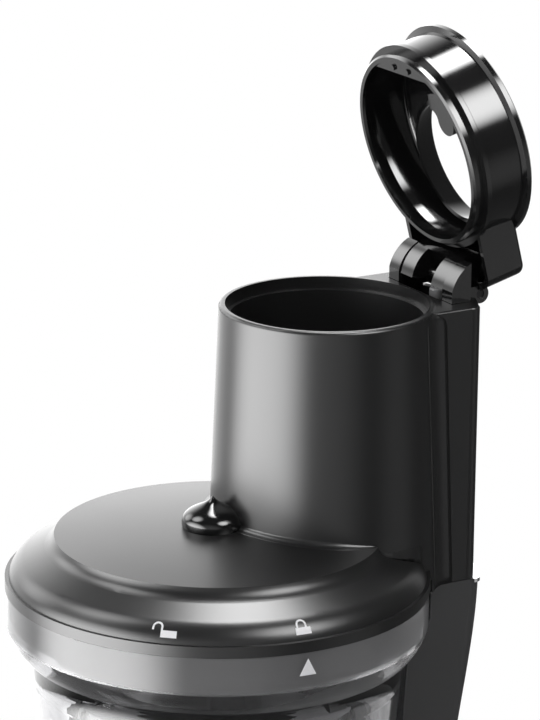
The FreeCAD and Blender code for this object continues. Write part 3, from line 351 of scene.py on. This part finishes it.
line = [(-LINE_HALF, LINE_FROM), (LINE_HALF, LINE_FROM), (LINE_HALF, LINE_TO), (-LINE_HALF, LINE_TO)]
printed("knob_pointer", [line], on_knob, "knob")
dots = []
for turn, radius in DOTS:
    angle = math.radians(turn)
    dots.append(ring_points(DOT_RING * math.cos(angle), DOT_RING * math.sin(angle), radius))
printed("dial_dots", dots, on_front, "base")


# Control board
# Green glass-fibre board that sits on four posts of the bottom cover, with a mains choke, two
# capacitors and a relay soldered on its upper side.
board_green, board_graph, board_shader = finish("board_green", {"Specular IOR Level": 0.5})
SOLDERED_FROM = 1.8 * mm
SOLDERED_EDGE = 0.1 * mm
soldered_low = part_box("control_board")[0].z + SOLDERED_FROM
above = board_graph.along("Z")[0]
soldered = board_graph.ramp(above, soldered_low - SOLDERED_EDGE, soldered_low + SOLDERED_EDGE)
tracks = board_graph.ramp(board_graph.speckle(4 * mm, 0.0, (1, 0.2, 1)), 0.52, 0.56)
varnish = board_graph.blend(tracks, (0.012, 0.10, 0.035, 1), (0.03, 0.18, 0.06, 1))
board_graph.feed(board_shader["Base Color"], board_graph.blend(soldered, varnish, grey(0.05)))
board_graph.feed(board_shader["Roughness"], 0.3 + 0.2 * soldered)
dress(board_green, "control_board")


# Motor
# Drawn steel can with two ferrite magnets, a wound rotor on a steel shaft, and a moulded fan
# pressed on its lower end. Two end plates carry the shaft.
can_steel = metal("can_steel", 0.50, 0.34, (1, 1, 0.05))
dress(can_steel, "motor_can")
ferrite = moulding("ferrite", 0.045, 0.07, rough=0.62, deep=0.03 * mm)
dress(ferrite, "motor_magnets", "rod_magnet")
rotor_copper, rotor_graph, rotor_shader = finish("rotor_copper", {"Metallic": 1.0})
windings = rotor_graph.speckle(1.2 * mm, 1.0, (1, 1, 0.1))
copper = rotor_graph.blend(windings, (0.45, 0.20, 0.09, 1), (0.62, 0.33, 0.16, 1))
rotor_graph.feed(rotor_shader["Base Color"], copper)
rotor_graph.feed(rotor_shader["Roughness"], 0.25 + 0.2 * windings)
dress(rotor_copper, "motor_rotor")
fan_plastic = moulding("fan_plastic", 0.16, 0.20, rough=0.5)
dress(fan_plastic, "cooling_fan")


# Gears
# A steel pinion drives a compound wheel, which drives the output wheel. Both wheels are moulded in
# white acetal with straight teeth, and grease darkens them here and there and makes them shine.
# They run between the gearbox plate and its cover.
gear_acetal, gear_graph, gear_shader = finish("gear_acetal", {"Specular IOR Level": 0.45})
grease = gear_graph.ramp(gear_graph.speckle(12 * mm, 3.0), 0.45, 0.65)
acetal = gear_graph.blend(grease, (0.72, 0.70, 0.64, 1), (0.60, 0.56, 0.46, 1))
gear_graph.feed(gear_shader["Base Color"], acetal)
gear_graph.feed(gear_shader["Roughness"], 0.42 - 0.22 * grease)
dress(gear_acetal, "idler_gear", "output_gear")
pinion_steel = metal("pinion_steel", 0.42, 0.28, (1, 1, 0.1))
dress(pinion_steel, "motor_pinion", "idler_pin")
gearbox_plastic = moulding("gearbox_plastic", 0.11, 0.14, rough=0.48, grain=1.2 * mm, deep=0.04 * mm)
dress(gearbox_plastic, "gearbox_housing", "gearbox_cover")


# Drive shaft, its bush and the seals
# A ground steel shaft with a hexagon head turns in a sintered bush. A lip seal keeps juice out,
# and the soft parts of bowl, lid and tap are moulded in the same grey silicone.
shaft_steel = metal("shaft_steel", 0.60, 0.16, (1, 1, 0.04))
dress(shaft_steel, "drive_shaft")
bush_bronze, bush_graph, bush_shader = finish("bush_bronze", {"Metallic": 1.0})
pores = bush_graph.speckle(0.4 * mm, 1.0)
bronze = bush_graph.blend(pores, (0.42, 0.30, 0.16, 1), (0.60, 0.46, 0.27, 1))
bush_graph.feed(bush_shader["Base Color"], bronze)
bush_graph.feed(bush_shader["Roughness"], 0.30 + 0.2 * pores)
dress(bush_bronze, "drive_bush", "auger_top_bush")
grey_silicone = moulding("grey_silicone", 0.06, 0.08, rough=0.45, grain=3 * mm, deep=0.02 * mm,
                         extra={"Specular IOR Level": 0.4})
dress(grey_silicone, "shaft_seal", "bowl_shaft_seal", "lid_gasket", "tap_seal")


# Bowl
# One thick moulding in clear copolyester, dyed a light smoke, with polished faces. Its band
# carries four bayonet tracks and is finely frosted. The juice and pulp spouts are moulded on.
clear_smoke, smoke_graph, smoke_shader = finish("clear_smoke", {
    "Base Color": (0.90, 0.90, 0.91, 1), "Transmission Weight": 1.0, "IOR": 1.50})
flow = smoke_graph.speckle(20 * mm, 2.0, (1, 1, 0.3))
smoke_graph.feed(smoke_shader["Roughness"], 0.01 + 0.03 * flow)
smoke_graph.feed(smoke_shader["Normal"], smoke_graph.relief(flow, 0.01 * mm))
BAND_LOW = 299.2 * mm
BAND_EDGE = 1.5 * mm
FROST = 0.42
height = smoke_graph.along("Z")[0]
on_band_only = smoke_graph.ramp(height, BAND_LOW - BAND_EDGE, BAND_LOW)
frosted = smoke_graph.add("BsdfPrincipled", {}, {
    "Base Color": (0.30, 0.30, 0.305, 1), "Roughness": 0.30, "Transmission Weight": 0.5})
smoke_tree = clear_smoke.node_tree.nodes
polished = Signal(smoke_graph, smoke_tree["Principled BSDF"].outputs[0])
joined = smoke_graph.add("MixShader", {}, {0: FROST * on_band_only, 1: polished, 2: frosted})
smoke_graph.feed(smoke_tree["Material Output"].inputs["Surface"], joined)
dress(clear_smoke, "bowl")

BAND_R = 82 * mm
BESIDE_BOWL = 0.12
ARROW_TURN = -5.8
ARROW_Z = 307.6 * mm
ARROW_HALF_WIDE = 3.4 * mm
ARROW_HALF_TALL = 3.3 * mm
hit_bowl = probe("bowl")


def on_band(u, v):
    """Places marks on the bowl's band, u to the right as seen from outside."""
    angle = math.radians(ARROW_TURN) + u / BAND_R
    way = Vector((math.cos(angle), math.sin(angle), 0))
    return hit_bowl(way * BESIDE_BOWL + Vector((0, 0, ARROW_Z + v)), -way)[0], way


arrow = [(-ARROW_HALF_WIDE, -ARROW_HALF_TALL), (ARROW_HALF_WIDE, -ARROW_HALF_TALL), (0.0, ARROW_HALF_TALL)]
printed("band_arrow", [arrow], on_band, "bowl")


# Juice tap
# A gloss black cap, moulded with its pin, swings in the lug over the spout and presses a soft
# silicone plug into the spout's mouth.
dress(knob_gloss, "juice_tap_cap")


# Strainer
# A dark polycarbonate cage with eight windows, moulded round a punched steel sleeve. Its four
# legs stand against the bowl's wall.
cage_plastic = moulding("cage_plastic", 0.020, 0.028, rough=0.26, grain=1 * mm, deep=0.008 * mm)
dress(cage_plastic, "strainer_frame")
screen_steel, screen_graph, screen_shader = finish("screen_steel", {"Metallic": 1.0})
STRAINER_R = 54 * mm
HOLE_PITCH = 1.6 * mm
along_x, along_y, along_z = screen_graph.along("XYZ")
around = along_x.maths("ARCTAN2", along_x, along_y) * (STRAINER_R / HOLE_PITCH)
rows = along_z / HOLE_PITCH
wave = around.maths("SINE", around * math.tau) * rows.maths("SINE", rows * math.tau)
hole = screen_graph.ramp(wave, 0.35, 0.45)
screen_graph.feed(screen_shader["Base Color"], screen_graph.blend(hole, grey(0.42), grey(0.02)))
screen_graph.feed(screen_shader["Roughness"], 0.28 + 0.3 * hole)
dress(screen_steel, "strainer_screen")


# Wiper
# A grey moulded basket keyed to the auger holds four soft silicone blades in its posts. They
# sweep the outside of the strainer.
basket_plastic = moulding("basket_plastic", 0.10, 0.14, rough=0.34)
dress(basket_plastic, "wiper_holder")
blade_silicone = moulding("blade_silicone", 0.05, 0.07, rough=0.5, grain=2 * mm, deep=0.02 * mm)
dress(blade_silicone, "wiper_blades")


# Auger
# A screw moulded in hard black polyetherimide with a smooth, lightly polished skin. A steel
# hexagon socket is moulded into its foot.
screw_black = moulding("screw_black", 0.016, 0.024, rough=0.20, grain=1.5 * mm,
                       extra={"Coat Weight": 0.2, "Coat Roughness": 0.15})
dress(screw_black, "auger")
dress(shaft_steel, "auger_socket")


# Hopper: dome, feed chute and column
# One moulding in satin black ABS. Its plateau meets the chute and the column in soft fillets,
# and it drops into the bowl's bayonet tracks. The marks are pad printed on the dome's flank.
satin_black = moulding("satin_black", 0.009, 0.011, rough=0.26, grain=0.5 * mm, deep=0.004 * mm)
dress(satin_black, "hopper_lid", "column_base_plate")

CHUTE_MID = Vector((0, 48 * mm, 0))
CHUTE_R = 42 * mm
CHUTE_TAPER = 0.0358
FILLET_STEPS = 7
SUNK = 0.4 * mm
SKIN_DIP = 0.02 * mm
BESIDE_CHUTE = 0.2
OVER_DOME = 0.36
hit_hopper = probe("hopper_lid")
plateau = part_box("auger_nub")[0].z
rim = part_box("hopper_lid")[1].z


def chute_radius(height):
    """Radius of the chute's outer wall, measured on its flank."""
    return hit_hopper((BESIDE_CHUTE, CHUTE_MID.y, height), (-1, 0, 0))[0].x


def dome_height(spot):
    """Height of the dome's skin under a place above it."""
    return hit_hopper((spot.x, spot.y, OVER_DOME), (0, 0, -1))[0].z


def curved(start, corner, end):
    """Points of a quadratic curve that is tangent to both skins it joins."""
    shares = [k / FILLET_STEPS for k in range(FILLET_STEPS + 1)]
    return [(1 - t) ** 2 * start + 2 * t * (1 - t) * corner + t * t * end for t in shares]


FOOT_FILLET = 3.0 * mm
FOOT_FILLET_END = 1.0 * mm
FOOT_TURNS = range(1, 117, 2)
CREASE_TURN = 86
CREASE_EASE = 20
CLEAR_OF_WALL = 0.35 * mm
READ_BESIDE = 3 * mm
READ_WALL = 2 * mm
beside_r = chute_radius(plateau + READ_BESIDE) + CLEAR_OF_WALL
for sign, label in ((1, "left"), (-1, "right")):
    sections = []
    for turn in FOOT_TURNS:
        share = min(max((CREASE_TURN - turn) / CREASE_EASE, 0), 1)
        arm = FOOT_FILLET_END + (FOOT_FILLET - FOOT_FILLET_END) * share
        angle = math.radians(turn)
        way = Vector((sign * math.sin(angle), -math.cos(angle), 0))
        level = dome_height(CHUTE_MID + way * beside_r)
        drop = max(plateau - level, 0)
        wall = chute_radius(level + drop + READ_WALL) + drop * CHUTE_TAPER
        out = CHUTE_MID + way * (wall + arm)
        start = Vector((out.x, out.y, dome_height(out) - SKIN_DIP))
        corner = CHUTE_MID + way * wall + Vector((0, 0, level))
        end = CHUTE_MID + way * (wall - CHUTE_TAPER * arm - SKIN_DIP) + Vector((0, 0, level + arm))
        inner = corner - way * SUNK - Vector((0, 0, SUNK))
        sections.append(curved(start, corner, end) + [inner])
    loft("chute_foot_fillet_" + label, sections, satin_black, "hopper")

FLANK_FILLET = 6.5 * mm
FLANK_LOW = 308.2 * mm
FLANK_EASE = 5.0 * mm
FLANK_FADE = 0.9
FLANK_STEPS = 40
FLANK_SUNK_Y = 0.12 * mm
FLANK_DROP = 1.0 * mm
flank_top = rim - FLANK_DROP
for sign, label in ((1, "left"), (-1, "right")):
    sections = []
    for step in range(FLANK_STEPS + 1):
        height = FLANK_LOW + (flank_top - FLANK_LOW) * step / FLANK_STEPS
        near_top = max(0, (height - flank_top) / FLANK_EASE + 1)
        reach = FLANK_FILLET * math.sqrt(1 - FLANK_FADE * near_top ** 2)
        radius = CHUTE_R + (rim - height) * CHUTE_TAPER
        corner_y = math.sqrt(radius ** 2 - column_side ** 2)
        back = math.atan2(column_side, corner_y) + reach / radius
        level = CHUTE_MID + Vector((0, 0, height))
        start = level + radius * Vector((sign * math.sin(back), math.cos(back), 0))
        corner = level + Vector((sign * column_side, corner_y, 0))
        end = corner + Vector((0, reach, 0))
        inner = corner - Vector((sign * SUNK, FLANK_SUNK_Y, 0))
        sections.append(curved(start, corner, end) + [inner])
    loft("column_flank_fillet_" + label, sections, satin_black, "hopper")

MARK_R = 79.4 * mm
MARK_DROP = 15.9 * mm
MARK_LEAN = math.radians(32)
OFF_DOME = 0.02
LOCKED_TURN = -6.8
UNLOCKED_TURN = -43.4


def on_dome(turn):
    """Places marks on the dome's flank: u to the right and v up, as seen from outside."""
    def place(u, v):
        angle = math.radians(turn) + u / MARK_R
        way = Vector((math.cos(angle), math.sin(angle), 0))
        rise = Vector((0, 0, 1))
        out = way * math.cos(MARK_LEAN) + rise * math.sin(MARK_LEAN)
        up = rise * math.cos(MARK_LEAN) - way * math.sin(MARK_LEAN)
        spot = way * MARK_R + rise * (plateau - MARK_DROP) + up * v
        return hit_hopper(spot + out * OFF_DOME, -out)
    return place


BOW_OUTER = 2.1 * mm
BOW_INNER = 1.35 * mm
BOW_LEG = 1.2 * mm
BOW_FOOT = 0.75 * mm
BOW_SWUNG = -4.0 * mm
LOCK_LEFT = -2.6 * mm
LOCK_RIGHT = 3.5 * mm
LOCK_LOW = -1.9 * mm
LOCK_TOP = 0.8 * mm


def bow(aside):
    """Bow of a padlock: two legs and a half ring."""
    outer = [(BOW_OUTER, 0.0)] + ring_points(0, BOW_LEG, BOW_OUTER, 0, 180, 12) + [(-BOW_OUTER, 0.0)]
    inner = [(-BOW_INNER, 0.0)] + ring_points(0, BOW_LEG, BOW_INNER, 180, 0, 12) + [(BOW_INNER, 0.0)]
    return [(aside + u, BOW_FOOT + v) for u, v in outer + inner]


lock = [(LOCK_LEFT, LOCK_LOW), (LOCK_RIGHT, LOCK_LOW), (LOCK_RIGHT, LOCK_TOP), (LOCK_LEFT, LOCK_TOP)]
printed("mark_locked", [lock, bow(0.0)], on_dome(LOCKED_TURN), "hopper")
printed("mark_unlocked", [lock, bow(BOW_SWUNG)], on_dome(UNLOCKED_TURN), "hopper")


# Nub over the auger's pin
# The top bearing stands up from the plateau as a polished onion dome, moulded in gloss black. Its
# back runs into the chute's wall, and its foot is sunk into the plateau.
NUB_SHIFT = Vector((0.2, -2.6, 0)) * mm
NUB_PROFILE = (
    (11.5, -1.5), (11.9, 0.0), (12.1, 1.6), (12.0, 3.2), (11.1, 4.9), (9.4, 6.3), (7.4, 7.4), (5.4, 8.3),
    (3.6, 9.1), (2.2, 9.9), (1.2, 10.8), (0.5, 11.6), (0.1, 12.0),
)
NUB_SIDES = 48
NUB_IN_WALL = 1.2 * mm


def keep_in_wall(p):
    """Moves a point that lies too deep in the chute back to just under its outer face."""
    beside = Vector((p.x, p.y, 0)) - CHUTE_MID
    least = CHUTE_R + (rim - p.z) * CHUTE_TAPER - NUB_IN_WALL
    if beside.length < least:
        beside = beside.normalized() * least
    return CHUTE_MID + beside + Vector((0, 0, p.z))


nub_gloss = moulding("nub_gloss", 0.006, 0.008, rough=0.07, grain=4 * mm, deep=0.002 * mm)
sections = []
for radius, height in NUB_PROFILE:
    ring = []
    for k in range(NUB_SIDES):
        angle = math.tau * k / NUB_SIDES
        spoke = Vector((math.cos(angle) * radius * mm, math.sin(angle) * radius * mm, plateau + height * mm))
        ring.append(keep_in_wall(NUB_SHIFT + spoke))
    sections.append(ring)
nub = loft("auger_nub_dome", sections, nub_gloss, "hopper")
rounding = nub.modifiers.new("rounding", "SUBSURF")
rounding.levels = 2
rounding.render_levels = 2
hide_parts("auger_nub")


# Hinge and ring lid
# The lid is a deep ring in high gloss black ABS with a feed hole, carried by a drum that turns on
# a steel pin between two cheeks. The insert that holds the cheeks is screwed into the column.
lid_gloss = moulding("lid_gloss", 0.007, 0.009, rough=0.06, grain=6 * mm, deep=0.006 * mm,
                     extra={"Specular IOR Level": 0.7})
dress(lid_gloss, "ring_lid", "lid_knuckle", "hinge_block")
dress(screw_steel, "hinge_screws", "rod_spring")
# The hinge pin's steel is painted near black: painted shade for the dark recess round its end, not a
# blackened finish.
pin_painted_shade = metal("pin_painted_shade", 0.06, 0.30, (0.05, 1, 1))
dress(pin_painted_shade, "hinge_pin")


# Interlock rod
# A grey moulded rod pushed down by the drum as the lid shuts; a magnet at its foot trips the
# reed switch in the body column.
rod_plastic = moulding("rod_plastic", 0.26, 0.32, rough=0.4)
dress(rod_plastic, "interlock_rod")


# Floor and surroundings
# A plain pale floor and a white room, as in a product studio. Both look white, and the floor
# keeps the soft shadow round the feet.
FLOOR_SIDE = 12
SHADOW_FULL = 0.22
SHADOW_GONE = 0.58
bpy.ops.mesh.primitive_plane_add(size=FLOOR_SIDE)
floor = bpy.context.object
floor.name = "floor"
floor.visible_glossy = False
floor_paint, floor_graph, _ = finish("floor_paint", {"Base Color": grey(0.80), "Roughness": 0.8})
ray = [floor_graph.add("LightPath", out="Is %s Ray" % kind) for kind in ("Camera", "Glossy", "Transmission")]
seen = ray[0].maths("MINIMUM", ray[0] + ray[1] + ray[2], 1.0)
spread = floor_graph.add("VectorMath", {"operation": "LENGTH"}, {0: floor_graph.place()}, out="Value")
far_off = floor_graph.ramp(spread, SHADOW_FULL, SHADOW_GONE)
white = floor_graph.add("Emission", {}, {"Color": (1, 1, 1, 1), "Strength": 1.0})
floor_tree = floor_paint.node_tree.nodes
plain = Signal(floor_graph, floor_tree["Principled BSDF"].outputs[0])
mixed = floor_graph.add("MixShader", {}, {0: seen * far_off, 1: plain, 2: white})
floor_graph.feed(floor_tree["Material Output"].inputs["Surface"], mixed)
floor.data.materials.append(floor_paint)

# Soft panels of the room, as glossy surfaces mirror them: bearing to the right of the camera,
# rise, radius in degrees and level.
CAMERA_BEARING = -30.0
PANELS = (
    (-68, -13, 50, 12.5),
    (-150, 0, 50, 1.6),
    (-15, -13, 60, 0.8),
    (75, -17, 25, 0.35),
    (162, 72, 16, 26.0),
    (-95, 51, 20, 8.0),
    (50, 42, 22, 14.0),
    (-125, 24, 20, 4.0),
)
AMBIENT = 0.30
ROOM_LEVEL = 0.09
BACK_LEVEL = 1.6
BACK_WAY = Vector((-0.866, 0.5, 0.22)).normalized()
BACK_FROM = 0.72
BACK_FULL = 0.98


def heading(bearing, rise):
    """Direction given from the camera's side: bearing to the right of it and rise above the floor."""
    angle = math.radians(CAMERA_BEARING + bearing)
    lift = math.radians(rise)
    return Vector((math.cos(lift) * math.cos(angle), math.cos(lift) * math.sin(angle), math.sin(lift)))


world = bpy.data.worlds.new("studio")
bpy.context.scene.world = world
world.use_nodes = True
sky = Graph(world.node_tree)
way = sky.add("TexCoord", out="Generated")


def toward(direction, low, high):
    """Patch of the room round a direction: 0 where the cosine to it is low, 1 where it is high."""
    cosine = sky.add("VectorMath", {"operation": "DOT_PRODUCT"}, {0: way, 1: direction}, out="Value")
    return sky.ramp(cosine, low, high)


mirrored = ROOM_LEVEL + BACK_LEVEL * toward(BACK_WAY, BACK_FROM, BACK_FULL)
for bearing, rise, radius, level in PANELS:
    mirrored = mirrored + level * toward(heading(bearing, rise), math.cos(math.radians(radius)), 1.0)
ray = [sky.add("LightPath", out="Is %s Ray" % kind) for kind in ("Camera", "Transmission", "Glossy")]
direct = ray[0].maths("MINIMUM", ray[0] + ray[1], 1.0)
lit = AMBIENT * (1 - ray[2]) + mirrored * ray[2]
background = world.node_tree.nodes["Background"]
background.inputs["Color"].default_value = (1, 1, 1, 1)
sky.feed(background.inputs["Strength"], lit * (1 - direct) + direct)


# Lamps
# Large soft boxes that light the colours evenly: a tall one on the left, one overhead, a weak one
# on the right, and a wide one behind. Their reflections are the panels of the room.
TARGET = Vector((0, 30 * mm, 365 * mm))


def softbox(name, bearing, rise, distance, wide, tall, level):
    """Area lamp of an even brightness, placed round the object as seen from the camera."""
    aim = heading(bearing, rise)
    lamp = bpy.data.lights.new(name, "AREA")
    lamp.shape = "RECTANGLE"
    lamp.size = wide
    lamp.size_y = tall
    lamp.energy = level * math.pi * wide * tall
    stand = bpy.data.objects.new(name, lamp)
    bpy.context.scene.collection.objects.link(stand)
    stand.location = TARGET + aim * distance
    stand.rotation_euler = aim.to_track_quat("Z", "Y").to_euler()
    stand.visible_camera = False
    stand.visible_glossy = False
    return stand


softbox("left_box", -50, 12, distance=1.5, wide=0.70, tall=1.5, level=2.6)
softbox("top_box", 12, 68, distance=1.2, wide=0.9, tall=0.8, level=3.2)
softbox("right_box", 75, 20, distance=1.6, wide=0.5, tall=1.3, level=1.0)
rear_box = softbox("rear_box", 180, 16, distance=2.0, wide=2.2, tall=1.1, level=1.6)
rear_box.visible_transmission = False


# Camera
# A long lens that stands 60 degrees round to the right of the front and looks 16 degrees down,
# with the picture's own slight roll.
CAMERA_PLACE = Vector((1216.7, -702.5, 817.7)) * mm
CAMERA_TURN = Matrix.Rotation(math.radians(60), 3, "Z")
YAW = 0.01382
PITCH = 0.28651
ROLL = 0.01017
LENS = 192
SENSOR = 36
level_ahead = Vector((math.sin(YAW), math.cos(YAW), 0)) * math.cos(PITCH)
ahead = CAMERA_TURN @ (level_ahead - Vector((0, 0, math.sin(PITCH))))
across = ahead.cross(Vector((0, 0, 1))).normalized()
upward = across.cross(ahead)
right = across * math.cos(ROLL) + upward * math.sin(ROLL)
top = upward * math.cos(ROLL) - across * math.sin(ROLL)
lens = bpy.data.cameras.new("camera")
lens.sensor_fit = "VERTICAL"
lens.sensor_height = SENSOR
lens.lens = LENS
lens.clip_end = 30
camera = bpy.data.objects.new("camera", lens)
bpy.context.scene.collection.objects.link(camera)
camera.matrix_world = Matrix.Translation(CAMERA_PLACE) @ Matrix((right, top, -ahead)).transposed().to_4x4()
bpy.context.scene.camera = camera
bpy.context.scene.view_settings.view_transform = "Standard"
